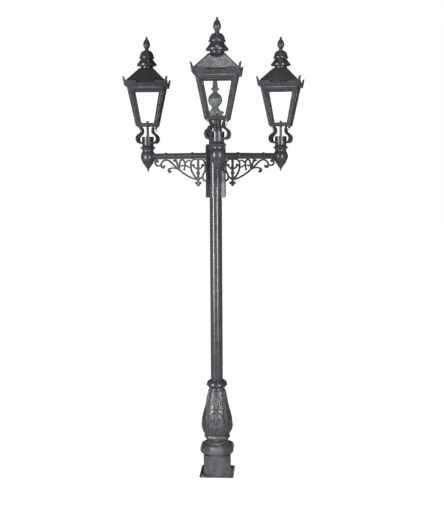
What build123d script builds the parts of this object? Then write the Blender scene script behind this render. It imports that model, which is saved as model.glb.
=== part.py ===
from build123d import *
import os
from math import atan, cos, degrees, pi, radians, sin, sqrt, tan

# Triple head lamp post, millimetres, +Z up. The origin is the centre of the base plate's underside, and
# the plate's sides lie along X and Y. Arm pieces are drawn with their arm along +X, lantern pieces
# around their own upright axis with the door on the -Y side, and both are then set in their places.

os.makedirs("parts", exist_ok=True)

# ---------------------------------------------------------------- driving dimensions
SEAT = 0.3                    # gap between a casting and the round tube that it sits on
OVER = 1.0                    # how far a cutter runs past the face that it opens

# base plate
PLATE_SIDE = 320.0
PLATE_T = 20.0
PLATE_CORNER_R = 8.0
ANCHOR_SPACING = 254.0        # square of four holding-down bolts
ANCHOR_HOLE_R = 11.0
CABLE_ENTRY_R = 40.0

# shaft
TUBE_R = 57.15                # 114.3 mm round tube
TUBE_WALL = 5.0

# plinth and the eight-sided moulding on it
PLINTH_HALF = 125.0
PLINTH_CHAMFER = 45.0
PLINTH_SHOULDER = 196.0       # height where the square plinth meets the moulding
PLINTH_WALL = 14.0
MOULDING_H = 126.0
MOULDING_HALF = 157.0
PLINTH_TOP = PLINTH_SHOULDER + MOULDING_H

# bud casting
BUD_H = 507.0
BUD_R = 137.0
BUD_WALL = 12.0
BUD_TOP = PLINTH_TOP + BUD_H
RING_H = 62.0
RING_TOP = PLINTH_TOP + RING_H
PETALS = 8
PETAL_RISE = 6.0
PETAL_ROOT = 4.0              # how deep each petal is let into the bud's body
PETAL_HALF_W = 50.0
PETAL_FOOT_Z = RING_TOP + 8.0
PETAL_TIP_Z = BUD_TOP - 33.0

# collar above the bud
COLLAR_R = 97.0
COLLAR_H = 77.0

# arm head
HEAD_BOTTOM = 2632.0
HEAD_H = 491.0
HEAD_TOP = HEAD_BOTTOM + HEAD_H
HEAD_TURN = 5.4               # how far the front arm is turned from the plate's front, anticlockwise
ARM_STEP = 120.0
ARM_REACH = 742.0             # post axis to lantern axis
ARM_DROP = 100.0              # arm tubes' centre line below the head's top
ARM_Z = HEAD_TOP - ARM_DROP
ARM_R = 24.15                 # 48.3 mm round tube
ARM_WALL = 4.0
ARM_ROOT_X = TUBE_R + 15.0
SHELL_T = 8.5
SHELL_R = TUBE_R + SEAT + SHELL_T
FLANGE_REACH = SHELL_R + 35.0
FLANGE_T = 11.0
FLANGE_CORNER_R = 24.0
SOCKET_R = ARM_R + 9.0
SOCKET_X = SHELL_R + 32.0
PAD_X = SHELL_R + 7.0         # face that the bracket's back bar bolts to
PAD_HALF_W = 12.0
PAD_L = 228.0
PAD_Z = (ARM_Z - 27.0 - PAD_L, ARM_Z - 27.0)
FLANGE_BOLTS = 4
FLANGE_BOLT_X = SHELL_R + 21.0
FLANGE_BOLT_Z = [HEAD_BOTTOM + HEAD_H * (i + 0.5) / FLANGE_BOLTS for i in range(FLANGE_BOLTS)]
FLANGE_BOLT_R = 6.0
BOLT_HEAD_R = 9.5
BOLT_HEAD_T = 7.0
BOLT_CLEAR = 0.5

# clips that tie each bracket to its tube
CLIP_X = (ARM_REACH / 3, ARM_REACH * 0.725)
CLIP_R = ARM_R + 7.3
CLIP_W = 26.0

# scroll bracket: v is measured down from the arm's centre line
BRACKET_T = 14.0
BAR_W = 14.0
BACK_BAR_W = 16.0
TOP_BAR_T = 9.0
STEM_X = 187.0
STEM_W = 20.0
STEM_TIP_V = -288.0
BULB_R = 12.0

# end boss and pendant
BOSS_H = 157.0
BOSS_DROP = 61.0              # boss's foot below the arm's centre line
BOSS_BOTTOM = ARM_Z - BOSS_DROP
BOSS_TOP = BOSS_BOTTOM + BOSS_H
BOSS_R = 70.0
BOSS_RIM_R = 74.0
BOSS_BORE_R = 13.0
TUBE_IN_BOSS = BOSS_R / 2     # how far from the boss's axis the arm tube ends
PENDANT_R = 55.0
PENDANT_H = 86.0
PENDANT_BALL_R = 10.0

# cradle and conduit
CUP_R = 57.0
CUP_WALL = 9.0
CUP_H = 89.0
CUP_FLOOR_T = 12.0
CUP_FLOOR = BOSS_TOP + CUP_FLOOR_T
CUP_TOP = BOSS_TOP + CUP_H
CONDUIT_R = 12.0
CONDUIT_WALL = 3.0
CONDUIT_NUT_R = 16.0
CONDUIT_CLEAR = 0.4
CONDUIT_NUT_T = 9.0
LEG_T = 15.0
LEG_W = 22.0
LEG_ROOT_RISE = 31.0
LEG_BELLY_X = CUP_R + 41.0
LEG_BELLY_R = 38.0
LEG_HOLLOW_R = 33.0
LEG_SLOPE_L = 32.0
LEG_TURN = 150.0              # how far the leg turns at its belly, and back again
LEG_FOOT_R = 109.0            # cradle bolt circle radius, on the lantern's diagonals
LEG_FOOT_T = 9.5
FOOT_PAD_R = 15.0
LEG_RISE = (LEG_BELLY_R + LEG_HOLLOW_R) * (1 - cos(radians(LEG_TURN))) + LEG_SLOPE_L * sin(radians(LEG_TURN))
FIXING_R = 5.0
FIXING_CLEAR = 0.4
FIXING_NUT_R = 9.0
FIXING_NUT_T = 9.0
FIXING_LENGTH = 46.0

# lantern body: a square frame that widens upwards
BODY_Z = BOSS_TOP + LEG_ROOT_RISE + LEG_RISE + LEG_FOOT_T
BODY_H = 390.0
BODY_HALF = 103.0
RIM_HALF = 180.4
RIM_Z = BODY_Z + BODY_H
CONDUIT_TOP = BODY_Z + 42.0
TAPER = atan((RIM_HALF - BODY_HALF) / BODY_H)
FRAME_T = 10.0
FLOOR_T = 6.0
SIGHT_BAR = 40.0              # width of bar seen round the glass
SIGHT_Z = (BODY_Z + 28.0, RIM_Z - 53.0)
REBATE_W = 9.0
REBATE_DEPTH = 4.0
GLASS_T = 4.0
GLASS_LAP = 6.0

# door, hinges and catch
POST_W = 18.0
DOOR_GAP = 1.2
DOOR_HEAD_GAP = 3.6           # wider, so that the sloping door clears the opening's head as it swings
DOOR_Z = (BODY_Z + 12.0, RIM_Z - 30.0)
HINGE_RISE = 6.0              # hinge axis in front of the frame's face
KNUCKLE_R = 5.0
KNUCKLE_L = 12.0
KNUCKLE_GAP = 0.5
HINGE_AT = (0.14, 0.86)       # share of the door's height
PIN_R = 2.5
PIN_CLEAR = 0.05
PIN_HEAD_R = 4.0
PIN_HEAD_T = 2.0
LEAF_T = 3.0
LEAF_W = 15.0
CATCH_R = 4.0
CATCH_CLEAR = 0.05
CATCH_AT = 0.5                # share of the door's height
CATCH_INSET = 6.5             # centre of the catch in from the stile's free edge
CATCH_ROSE_R = 6.0
CATCH_ROSE_T = 3.0
CATCH_WING = (26.0, 5.0, 9.0)  # length, width and height of the turning wing
CAM_T = 3.0
CAM_W = 8.0
CAM_REACH = 13.5
CAM_CLEAR = 0.5

# cornice and cresting
CORNICE_DROP = 18.0           # cornice's foot below the frame's rim
CORNICE_CHAMFER = 7.0
CORNICE_HALF = RIM_HALF + 19.6
CORNICE_GAP = 0.3
CREST_T = 4.0
CREST_LEAN = 12.0             # how far the cresting leans out at the horns' tips
CREST_LOW = 8.0               # heights above the rim
CREST_HIGH = 29.0
HORN_H = 70.0

# roof
EAVE_Z = RIM_Z + 23.0
EAVE_HALF = CORNICE_HALF - 12.0
SKIRT_HALF = RIM_HALF - 3.4
SKIRT_T = 6.0
ROOF_TOP_Z = RIM_Z + 157.0
ROOF_TOP_HALF = 60.0
ROOF_WALL = 4.0
HIP_R = 5.0
VENT_R = 45.0

# chimney and finial
CHIMNEY_R = 95.0
CHIMNEY_H = 175.0
CHIMNEY_TOP = ROOF_TOP_Z + CHIMNEY_H
FINIAL_R = 33.0
FINIAL_H = 128.0

# gear under the roof
TRAY_Z = RIM_Z - 11.0
TRAY_T = 2.0
TRAY_GAP = 0.4
DRIVER = (140.0, 70.0, 28.0)
MODULE_HALF = 70.0
MODULE_T = 7.0
LENS_R = 14.0
LENS_T = 2.0

# column cap and top finial
CAP_R = 61.0
CAP_H = 304.0
CAP_TOP = HEAD_TOP + CAP_H
SPIGOT_L = 40.0
TOP_FINIAL_R = 65.0
TOP_FINIAL_H = 463.0

# ---------------------------------------------------------------- places
ARM_NAMES = ("front", "left", "right")
ARM_ANGLES = (-90.0 + HEAD_TURN, -90.0 + HEAD_TURN - ARM_STEP, -90.0 + HEAD_TURN + ARM_STEP)
LANTERN_YAWS = (0.0, 2.5, -6.5)


def heading(angle):
    """Unit vector in the ground plane at an angle from +X."""
    return Vector(cos(radians(angle)), sin(radians(angle)), 0)


def turned_plane(angle):
    """The upright plane through the axis whose x runs along heading(angle) and whose y is up."""
    return Plane(origin=(0, 0, 0), x_dir=heading(angle), z_dir=heading(angle - 90))


ARM_PLACES = [Plane(origin=(0, 0, 0), x_dir=heading(a), z_dir=(0, 0, 1)).location for a in ARM_ANGLES]
LANTERN_PLACES = [
    Plane(origin=heading(a) * ARM_REACH, x_dir=heading(yaw), z_dir=(0, 0, 1)).location
    for a, yaw in zip(ARM_ANGLES, LANTERN_YAWS)
]


def save(shape, name):
    shape.label = name
    export_step(shape, f"parts/{name}.step")


def save_at(part, places, stem):
    """Write one copy of a finished piece for each arm."""
    for arm, place in zip(ARM_NAMES, places):
        save(part.moved(place), f"{arm}_{stem}")


def save_group(parts, name):
    save(Compound(children=list(parts)), name)


def hexagon(across_corners_r):
    return RegularPolygon(across_corners_r, 6)


def scaled(radius, foot, height):
    """Turns shares of a piece's radius and height into points of its half outline."""
    return lambda *shares: [(x * radius, foot + z * height) for x, z in shares]


# ---------------------------------------------------------------- base plate
with BuildPart() as base_plate:
    with BuildSketch(Plane.XY):
        RectangleRounded(PLATE_SIDE, PLATE_SIDE, PLATE_CORNER_R)
        with GridLocations(ANCHOR_SPACING, ANCHOR_SPACING, 2, 2):
            Circle(ANCHOR_HOLE_R, mode=Mode.SUBTRACT)
        Circle(CABLE_ENTRY_R, mode=Mode.SUBTRACT)
    extrude(amount=PLATE_T)
    chamfer(base_plate.faces().sort_by(Axis.Z)[-1].outer_wire().edges(), 3)
save(base_plate.part, "base_plate")

# ---------------------------------------------------------------- plinth with its moulding
# The moulding has eight facets, one of them facing front: its solid is what four upright profiles,
# turned by 45 degrees each, have in common.
moulding_points = scaled(MOULDING_HALF, PLINTH_SHOULDER, MOULDING_H)
BELLY, NECK, CROWN = moulding_points((1.0, 0.4), (0.713, 0.833), (0.656, 1.0))

with BuildPart() as moulding:
    for turn in range(4):
        with BuildSketch(turned_plane(45 * turn)):
            with BuildLine():
                foot = Line((0, PLINTH_SHOULDER), (PLINTH_HALF, PLINTH_SHOULDER))
                under = SagittaArc(foot @ 1, BELLY, -0.057 * MOULDING_HALF)
                over = SagittaArc(under @ 1, NECK, -0.089 * MOULDING_HALF)
                cove = SagittaArc(over @ 1, CROWN, 0.025 * MOULDING_HALF)
                Line(cove @ 1, (0, PLINTH_TOP))
                mirror(about=Plane.YZ)
            make_face()
        extrude(amount=2 * MOULDING_HALF, both=True, mode=Mode.ADD if turn == 0 else Mode.INTERSECT)

with BuildPart() as plinth:
    with BuildSketch(Plane.XY.offset(PLATE_T)) as plinth_plan:
        Rectangle(2 * PLINTH_HALF, 2 * PLINTH_HALF)
        chamfer(plinth_plan.vertices(), PLINTH_CHAMFER)
    extrude(amount=PLINTH_SHOULDER - PLATE_T)
    add(moulding.part)
    with BuildSketch(Plane.XY.offset(PLATE_T)) as plinth_room:
        Rectangle(2 * (PLINTH_HALF - PLINTH_WALL), 2 * (PLINTH_HALF - PLINTH_WALL))
        chamfer(plinth_room.vertices(), PLINTH_CHAMFER - PLINTH_WALL / 2)
    extrude(amount=PLINTH_SHOULDER - PLATE_T, mode=Mode.SUBTRACT)
    with BuildSketch(Plane.XZ):
        with BuildLine():
            Polyline(
                (0, PLINTH_SHOULDER - OVER),
                (PLINTH_HALF - PLINTH_WALL, PLINTH_SHOULDER - OVER),
                (BELLY[0] - 2 * PLINTH_WALL, BELLY[1]),
                (NECK[0] - 1.5 * PLINTH_WALL, NECK[1]),
                (TUBE_R + SEAT, PLINTH_TOP - PLINTH_WALL),
                (TUBE_R + SEAT, PLINTH_TOP + OVER),
                (0, PLINTH_TOP + OVER),
                close=True,
            )
        make_face()
    revolve(axis=Axis.Z, mode=Mode.SUBTRACT)
save(plinth.part, "plinth")

# ---------------------------------------------------------------- bud casting
# A ring of eight facets with an edge facing front, a smooth bud over it, and eight raised petals.
bud_points = scaled(BUD_R, PLINTH_TOP, BUD_H)
BUD_FOOT, BUD_BELLY, BUD_WAIST, BUD_NECK, BUD_LIP = bud_points(
    (0.825, 0.134), (1.0, 0.292), (0.826, 0.608), (0.577, 0.967), (0.547, 1.0)
)
RING_FOOT, RING_LOW, RING_BELLY, RING_CROWN = scaled(BUD_R, PLINTH_TOP, RING_H)(
    (0.708, 0), (0.759, 0.29), (0.84, 0.63), (0.781, 1.0)
)


def bud_outline(grow):
    """Half outline of the bud's body, swollen outwards by grow."""
    points = [(x + grow, z) for x, z in (BUD_FOOT, BUD_BELLY, BUD_WAIST, BUD_NECK)]
    return Spline(*points, tangents=((1, 1.6), (-0.35, 2)))


with BuildPart() as bud_ring:
    for turn in range(4):
        with BuildSketch(turned_plane(45 * turn + 22.5)):
            with BuildLine():
                foot = Line((0, PLINTH_TOP), RING_FOOT)
                lower = SagittaArc(foot @ 1, RING_LOW, 0.05 * RING_H)
                bulge = ThreePointArc(lower @ 1, RING_BELLY, RING_CROWN)
                Line(bulge @ 1, (0, RING_TOP))
                mirror(about=Plane.YZ)
            make_face()
        extrude(amount=2 * BUD_R, both=True, mode=Mode.ADD if turn == 0 else Mode.INTERSECT)

with BuildPart() as petal:
    with BuildSketch(turned_plane(-90 - 180 / PETALS)):
        with BuildLine():
            skin = bud_outline(PETAL_RISE)
            root = bud_outline(-PETAL_ROOT)
            Line(skin @ 0, root @ 0)
            Line(skin @ 1, root @ 1)
        make_face()
    revolve(axis=Axis.Z, revolution_arc=360 / PETALS)
    with BuildSketch(Plane.XZ):
        with BuildLine():
            petal_points = scaled(PETAL_HALF_W, PETAL_FOOT_Z, PETAL_TIP_Z - PETAL_FOOT_Z)
            edge = Spline(
                *petal_points((0, 0), (0.8, 0.075), (1.0, 0.225), (0.7, 0.67), (0.42, 1.0)),
                tangents=((1, 0.1), (-0.1, 1)),
            )
            mirror(about=Plane.YZ)
            Line(edge @ 1, *petal_points((-0.42, 1.0)))
        make_face()
    extrude(amount=2 * BUD_R, mode=Mode.INTERSECT)

with BuildPart() as bud:
    add(bud_ring.part)
    with BuildSketch(Plane.XZ):
        with BuildLine():
            outline = bud_outline(0)
            Polyline(outline @ 1, BUD_LIP, (0, BUD_TOP), (0, RING_TOP), (BUD_FOOT[0], RING_TOP), outline @ 0)
        make_face()
    revolve(axis=Axis.Z)
    with PolarLocations(0, PETALS, start_angle=180 / PETALS):
        add(petal.part)
    with BuildSketch(Plane.XZ):
        with BuildLine():
            Polyline(
                (0, PLINTH_TOP - OVER),
                (RING_FOOT[0] - BUD_WALL, PLINTH_TOP - OVER),
                (BUD_FOOT[0] - 1.5 * BUD_WALL, BUD_FOOT[1]),
                (BUD_BELLY[0] - BUD_WALL, BUD_BELLY[1]),
                (BUD_WAIST[0] - BUD_WALL, BUD_WAIST[1]),
                (TUBE_R + SEAT, BUD_NECK[1] - 4 * BUD_WALL),
                (TUBE_R + SEAT, BUD_TOP + OVER),
                (0, BUD_TOP + OVER),
                close=True,
            )
        make_face()
    revolve(axis=Axis.Z, mode=Mode.SUBTRACT)
save(bud.part, "bud_casting")

# ---------------------------------------------------------------- collar and shaft tube
with BuildPart() as collar:
    with BuildSketch(Plane.XZ):
        with BuildLine():
            foot_end, flare_end, rim_end, crown_end = scaled(COLLAR_R, BUD_TOP, COLLAR_H)(
                (0.784, 0), (1.0, 0.325), (1.0, 0.494), (0.68, 1.0)
            )
            foot = Line((TUBE_R + SEAT, BUD_TOP), foot_end)
            flare = SagittaArc(foot @ 1, flare_end, 0.05 * COLLAR_R)
            rim = Line(flare @ 1, rim_end)
            crown = SagittaArc(rim @ 1, crown_end, -0.07 * COLLAR_R)
            Polyline(crown @ 1, (TUBE_R + SEAT, BUD_TOP + COLLAR_H), foot @ 0)
        make_face()
    revolve(axis=Axis.Z)
save(collar.part, "shaft_collar")

with BuildPart() as shaft:
    with BuildSketch(Plane.XY.offset(PLATE_T)):
        Circle(TUBE_R)
        Circle(TUBE_R - TUBE_WALL, mode=Mode.SUBTRACT)
    extrude(amount=HEAD_TOP - PLATE_T)
save(shaft.part, "shaft_tube")

# ---------------------------------------------------------------- arm head saddles
FLANGE_ANGLE = ARM_STEP / 2

with BuildPart() as saddle:
    with BuildSketch(Plane.XY.offset(HEAD_BOTTOM)):
        with BuildLine():
            outer, inner = [
                ThreePointArc(heading(-FLANGE_ANGLE) * r, (r, 0), heading(FLANGE_ANGLE) * r)
                for r in (SHELL_R, TUBE_R + SEAT)
            ]
            Line(outer @ 0, inner @ 0)
            Line(outer @ 1, inner @ 1)
        make_face()
    extrude(amount=HEAD_TOP - HEAD_BOTTOM)
    # bolting flanges along both upright edges
    for side in (1, -1):
        with BuildSketch(turned_plane(side * FLANGE_ANGLE)) as flange:
            with Locations(((TUBE_R + SEAT + FLANGE_REACH) / 2, (HEAD_BOTTOM + HEAD_TOP) / 2)):
                Rectangle(FLANGE_REACH - TUBE_R - SEAT, HEAD_H)
            outwards = Axis((0, 0, 0), heading(side * FLANGE_ANGLE))
            fillet(flange.vertices().group_by(outwards)[-1], FLANGE_CORNER_R)
            with Locations([(FLANGE_BOLT_X, z) for z in FLANGE_BOLT_Z]):
                Circle(FLANGE_BOLT_R + BOLT_CLEAR, mode=Mode.SUBTRACT)
        extrude(amount=side * FLANGE_T)
    # socket for the arm tube and pad for the bracket's back bar
    with BuildSketch(Plane.YZ.offset(TUBE_R / 2)):
        with Locations((0, ARM_Z)):
            Circle(SOCKET_R)
    extrude(amount=SOCKET_X - TUBE_R / 2)
    with BuildSketch(Plane.YZ.offset(TUBE_R / 2)):
        with Locations((0, sum(PAD_Z) / 2)):
            RectangleRounded(2 * PAD_HALF_W, PAD_Z[1] - PAD_Z[0], PAD_HALF_W / 2)
    extrude(amount=PAD_X - TUBE_R / 2)
    with BuildSketch(Plane.XY.offset(HEAD_BOTTOM - OVER)):
        Circle(TUBE_R + SEAT)
    extrude(amount=HEAD_H + 2 * OVER, mode=Mode.SUBTRACT)
    with BuildSketch(Plane.YZ.offset(ARM_ROOT_X - SEAT)):
        with Locations((0, ARM_Z)):
            Circle(ARM_R + SEAT)
    extrude(amount=SOCKET_X, mode=Mode.SUBTRACT)
save_at(saddle.part, ARM_PLACES, "arm_saddle")

# flange bolts, with head and nut, through each pair of flanges
with BuildPart() as flange_bolt:
    for z in FLANGE_BOLT_Z:
        with BuildSketch(turned_plane(0).offset(-FLANGE_T - BOLT_HEAD_T)):
            with Locations((FLANGE_BOLT_X, z)):
                hexagon(BOLT_HEAD_R)
        extrude(amount=BOLT_HEAD_T)
        with BuildSketch(turned_plane(0).offset(-FLANGE_T)):
            with Locations((FLANGE_BOLT_X, z)):
                Circle(FLANGE_BOLT_R)
        extrude(amount=2 * FLANGE_T)
        with BuildSketch(turned_plane(0).offset(FLANGE_T)):
            with Locations((FLANGE_BOLT_X, z)):
                hexagon(BOLT_HEAD_R)
                Circle(FLANGE_BOLT_R, mode=Mode.SUBTRACT)
                Circle(FLANGE_BOLT_R)
        extrude(amount=BOLT_HEAD_T)
flange_joints = [a + FLANGE_ANGLE for a in ARM_ANGLES]
save_group(
    [flange_bolt.part.moved(Plane(origin=(0, 0, 0), x_dir=heading(a), z_dir=(0, 0, 1)).location)
     for a in flange_joints],
    "head_bolts",
)

# ---------------------------------------------------------------- arm tubes and clips
with BuildPart() as arm_tube:
    with BuildSketch(Plane.YZ.offset(ARM_ROOT_X)):
        with Locations((0, ARM_Z)):
            Circle(ARM_R)
            Circle(ARM_R - ARM_WALL, mode=Mode.SUBTRACT)
    extrude(amount=ARM_REACH - TUBE_IN_BOSS - ARM_ROOT_X)
save_at(arm_tube.part, ARM_PLACES, "arm_tube")

ARM_AXIS = Axis((0, 0, ARM_Z), (1, 0, 0))
with BuildPart() as clips:
    for x in CLIP_X:
        with BuildSketch(Plane.XZ):
            with BuildLine():
                low = ARM_Z + ARM_R + SEAT
                crown = ThreePointArc(
                    (x - CLIP_W / 2, low + 1.5), (x, ARM_Z + CLIP_R), (x + CLIP_W / 2, low + 1.5)
                )
                Line(crown @ 1, (x + CLIP_W / 2, low))
                Line((x + CLIP_W / 2, low), (x - CLIP_W / 2, low))
                Line((x - CLIP_W / 2, low), crown @ 0)
            make_face()
        revolve(axis=ARM_AXIS)
        with BuildSketch(Plane.YZ.offset(x - CLIP_W)):
            with Locations((0, ARM_Z - CLIP_R)):
                Rectangle(BRACKET_T + 2 * SEAT, 2 * (CLIP_R - ARM_R) + 2)
        extrude(amount=2 * CLIP_W, mode=Mode.SUBTRACT)
save_group([clips.part.moved(place) for place in ARM_PLACES], "bracket_clips")

# ---------------------------------------------------------------- scroll brackets
TOP_BAR_V = -ARM_R - SEAT
TOP_BAR_END_X = ARM_REACH - BOSS_R - 8.0
BACK_BAR_V = (-SOCKET_R - SEAT, PAD_Z[0] - ARM_Z)


def bar(*points, width=BAR_W, tangents=None):
    """One scroll bar of the casting: a smooth centre line, widened to the bar's width."""
    with BuildLine() as centre:
        Spline(*points, tangents=tangents) if len(points) > 2 else Line(*points)
    trace(centre.line, line_width=width)


with BuildPart() as bracket:
    with BuildSketch(Plane.XZ) as scrolls:
        # top bar under the tube, clear of the saddle's socket, and back bar on the saddle's pad
        with Locations(((SOCKET_X + SEAT + TOP_BAR_END_X) / 2, TOP_BAR_V - TOP_BAR_T / 2)):
            Rectangle(TOP_BAR_END_X - SOCKET_X - SEAT, TOP_BAR_T)
        with Locations((PAD_X + BACK_BAR_W / 2, (BACK_BAR_V[0] + BACK_BAR_V[1]) / 2)):
            Rectangle(BACK_BAR_W, BACK_BAR_V[0] - BACK_BAR_V[1])
        bar((PAD_X + 4, BACK_BAR_V[0] - 7), (120, BACK_BAR_V[0] - 7), width=12)
        # heart of two tall loops round the stem
        bar((STEM_X, -40), (220, -36), (255, -52), (267, -98), (252, -155), (222, -198), (STEM_X + 6, -226))
        bar((STEM_X, -40), (154, -36), (122, -56), (110, -98), (117, -150), (139, -192), (131, -226),
            (96, -238))
        bar((139, -192), (160, -212), (STEM_X, -226))
        bar((96, -238), (PAD_X + 4, -240))
        bar((112, -98), (PAD_X + 4, -98))
        # stem with its beads, trefoil end and tip
        bar((STEM_X, TOP_BAR_V - 2), (STEM_X, STEM_TIP_V + 12), width=STEM_W)
        with Locations((STEM_X, -165)):
            Ellipse(19, 12)
        with Locations((STEM_X, -112)):
            Ellipse(15, 9)
        with Locations((STEM_X - 20, -258), (STEM_X + 20, -258), (STEM_X, STEM_TIP_V + 12)):
            Circle(BULB_R + 1)
        # cross curls
        bar((STEM_X, -124), (214, -120), (232, -104), (239, -92), width=11)
        bar((STEM_X, -124), (160, -120), (144, -104), (138, -92), width=11)
        with Locations((239, -92), (138, -92)):
            Circle(BULB_R + 1)
        # long brace and its end curl
        bar((STEM_X + 6, -226), (244, -215), (307, -188), (361, -157), (398, -130), (434, -118),
            (484, -118), (513, -133), (504, -153))
        with Locations((499, -149)):
            Circle(BULB_R + 3)
        # second curve, which arches over and curls down at the outer end
        bar((398, -130), (434, -103), (470, -72), (506, -47), (542, -41), (574, -51), (593, -76),
            (593, -99), (576, -114), (560, -104))
        with Locations((562, -101)):
            Circle(BULB_R)
        # outer small scroll
        bar((590, -70), (606, -90), (633, -95), (655, -80), (660, -55), (650, -36))
        with Locations((634, -52)):
            Circle(BULB_R)
        bar((634, -52), (640, -36), (652, -32), width=10)
        # stem from the brace to the top bar, with a small bulb beside it
        bar((398, -130), (407, -96), (420, -64), (436, TOP_BAR_V - 5))
        bar((423, -58), (436, -56), (449, -47), width=10)
        with Locations((450, -46)):
            Circle(9)
        # crook with a leaf at its end
        bar((398, -130), (391, -104), (389, -76), (380, -50), (361, -39), (342, -48), (331, -70), (330, -96))
        bar((330, -94), (352, -92), (368, -97), width=11)
        bar((330, -94), (334, -112), (340, -132), width=11)
        bar((332, -70), (316, -59), (294, -46), (272, -52), width=11)
        bar((330, -96), (312, -96), (296, -106), (272, -110), width=11)
        with Locations((366, -96), (339, -132), (312, -58)):
            Circle(8.5)
    extrude(amount=BRACKET_T / 2, both=True)
bracket_part = bracket.part.moved(Location((0, 0, ARM_Z)))
save_at(bracket_part, ARM_PLACES, "scroll_bracket")

# ---------------------------------------------------------------- end bosses and pendants
with BuildPart() as boss:
    with BuildSketch(Plane.XZ):
        with BuildLine():
            foot_end, belly_mid, belly_end, neck_end = scaled(BOSS_R, BOSS_BOTTOM, BOSS_H)(
                (0.714, 0), (1.0, 0.357), (0.8, 0.637), (0.871, 0.815)
            )
            rim = scaled(BOSS_RIM_R, BOSS_BOTTOM, BOSS_H)(
                (0.946, 0.86), (1.0, 0.892), (0.96, 0.924), (0.811, 0.943), (0.77, 1.0)
            )
            foot = Line((0, BOSS_BOTTOM), foot_end)
            belly = ThreePointArc(foot @ 1, belly_mid, belly_end)
            neck = SagittaArc(belly @ 1, neck_end, 0.06 * BOSS_R)
            Polyline(neck @ 1, *rim, (0, BOSS_TOP), (0, BOSS_BOTTOM))
        make_face()
    revolve(axis=Axis.Z)
    with BuildSketch(Plane.XY.offset(ARM_Z)):
        Circle(BOSS_BORE_R)
    extrude(amount=BOSS_TOP - ARM_Z + OVER, mode=Mode.SUBTRACT)
    with BuildSketch(Plane.YZ.offset(-BOSS_R - OVER)):
        with Locations((0, ARM_Z)):
            Circle(ARM_R + SEAT)
    extrude(amount=BOSS_R + OVER - TUBE_IN_BOSS + SEAT, mode=Mode.SUBTRACT)
    with BuildSketch(Plane.YZ.offset(-TUBE_IN_BOSS)):
        with Locations((0, ARM_Z)):
            Circle(BOSS_BORE_R)
    extrude(amount=TUBE_IN_BOSS, mode=Mode.SUBTRACT)
BOSS_PLACES = [
    Plane(origin=heading(a) * ARM_REACH, x_dir=heading(a), z_dir=(0, 0, 1)).location for a in ARM_ANGLES
]
save_at(boss.part, BOSS_PLACES, "arm_boss")

with BuildPart() as pendant:
    with BuildSketch(Plane.XZ):
        with BuildLine():
            lip = scaled(PENDANT_R, BOSS_BOTTOM, -PENDANT_H)((0.909, 0), (1.0, 0.046), (0.89, 0.105))
            Polyline((0, BOSS_BOTTOM), *lip)
            ball = CenterArc((0, BOSS_BOTTOM - PENDANT_H + PENDANT_BALL_R), PENDANT_BALL_R, -90, 140)
            SagittaArc(lip[-1], ball @ 1, 0.055 * PENDANT_R)
            Line(ball @ 0, (0, BOSS_BOTTOM))
        make_face()
    revolve(axis=Axis.Z)
save_at(pendant.part, BOSS_PLACES, "pendant")

# ---------------------------------------------------------------- cradle, conduit and cradle bolts
DIAGONALS = (45.0, 135.0, 225.0, 315.0)
FIXING_POINTS = [heading(d) * LEG_FOOT_R for d in DIAGONALS]

with BuildPart() as leg:
    with BuildSketch(Plane.XZ):
        with BuildLine() as leg_line:
            leg_z = BOSS_TOP + LEG_ROOT_RISE
            root = Line((CUP_R - CUP_WALL / 2, leg_z), (LEG_BELLY_X, leg_z))
            belly = JernArc(root @ 1, (1, 0), LEG_BELLY_R, LEG_TURN)
            slope = Line(belly @ 1, belly @ 1 + (belly % 1) * LEG_SLOPE_L)
            JernArc(slope @ 1, belly % 1, LEG_HOLLOW_R, -LEG_TURN)
        trace(leg_line.line, line_width=LEG_T)
    extrude(amount=LEG_W / 2, both=True)
    with BuildSketch(Plane.XY.offset(BODY_Z - LEG_FOOT_T)):
        with Locations((LEG_FOOT_R, 0)):
            Circle(FOOT_PAD_R)
    extrude(amount=LEG_FOOT_T)
    with BuildSketch(Plane.XY.offset(BODY_Z)):
        Rectangle(4 * LEG_FOOT_R, 4 * LEG_FOOT_R)
    extrude(amount=2 * LEG_T, mode=Mode.SUBTRACT)
    with BuildSketch(Plane.XY.offset(BODY_Z - 3 * LEG_T)):
        with Locations((LEG_FOOT_R, 0)):
            Circle(FIXING_R + FIXING_CLEAR)
    extrude(amount=4 * LEG_T, mode=Mode.SUBTRACT)
    with BuildSketch(Plane.XY.offset(BODY_Z - LEG_FOOT_T - FIXING_NUT_T - CONDUIT_CLEAR)):
        with Locations((LEG_FOOT_R, 0)):
            Circle(FIXING_NUT_R + 1)
    extrude(amount=FIXING_NUT_T + CONDUIT_CLEAR, mode=Mode.SUBTRACT)

with BuildPart() as cradle:
    with BuildSketch(Plane.XZ):
        with BuildLine():
            foot_end, side, lip, lip_in = scaled(CUP_R, BOSS_TOP, CUP_H)(
                (0.895, 0), (0.982, 0.2), (1.018, 1.0), (0.842, 1.0)
            )
            foot = Line((0, BOSS_TOP), foot_end)
            turn_up = SagittaArc(foot @ 1, side, -0.035 * CUP_R)
            Polyline(turn_up @ 1, (CUP_R, CUP_TOP - CUP_WALL), lip, lip_in, (CUP_R - CUP_WALL, CUP_FLOOR),
                     (0, CUP_FLOOR), (0, BOSS_TOP))
        make_face()
    revolve(axis=Axis.Z)
    with PolarLocations(0, len(DIAGONALS), start_angle=DIAGONALS[0]):
        add(leg.part)
    with BuildSketch(Plane.XY.offset(CUP_FLOOR)):
        Circle(CUP_R - CUP_WALL)
    extrude(amount=CUP_TOP - CUP_FLOOR, mode=Mode.SUBTRACT)
    with BuildSketch(Plane.XY.offset(BOSS_TOP - OVER)):
        Circle(CONDUIT_R + CONDUIT_CLEAR)
    extrude(amount=CUP_FLOOR, mode=Mode.SUBTRACT)
save_at(cradle.part, LANTERN_PLACES, "cradle")

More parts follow.
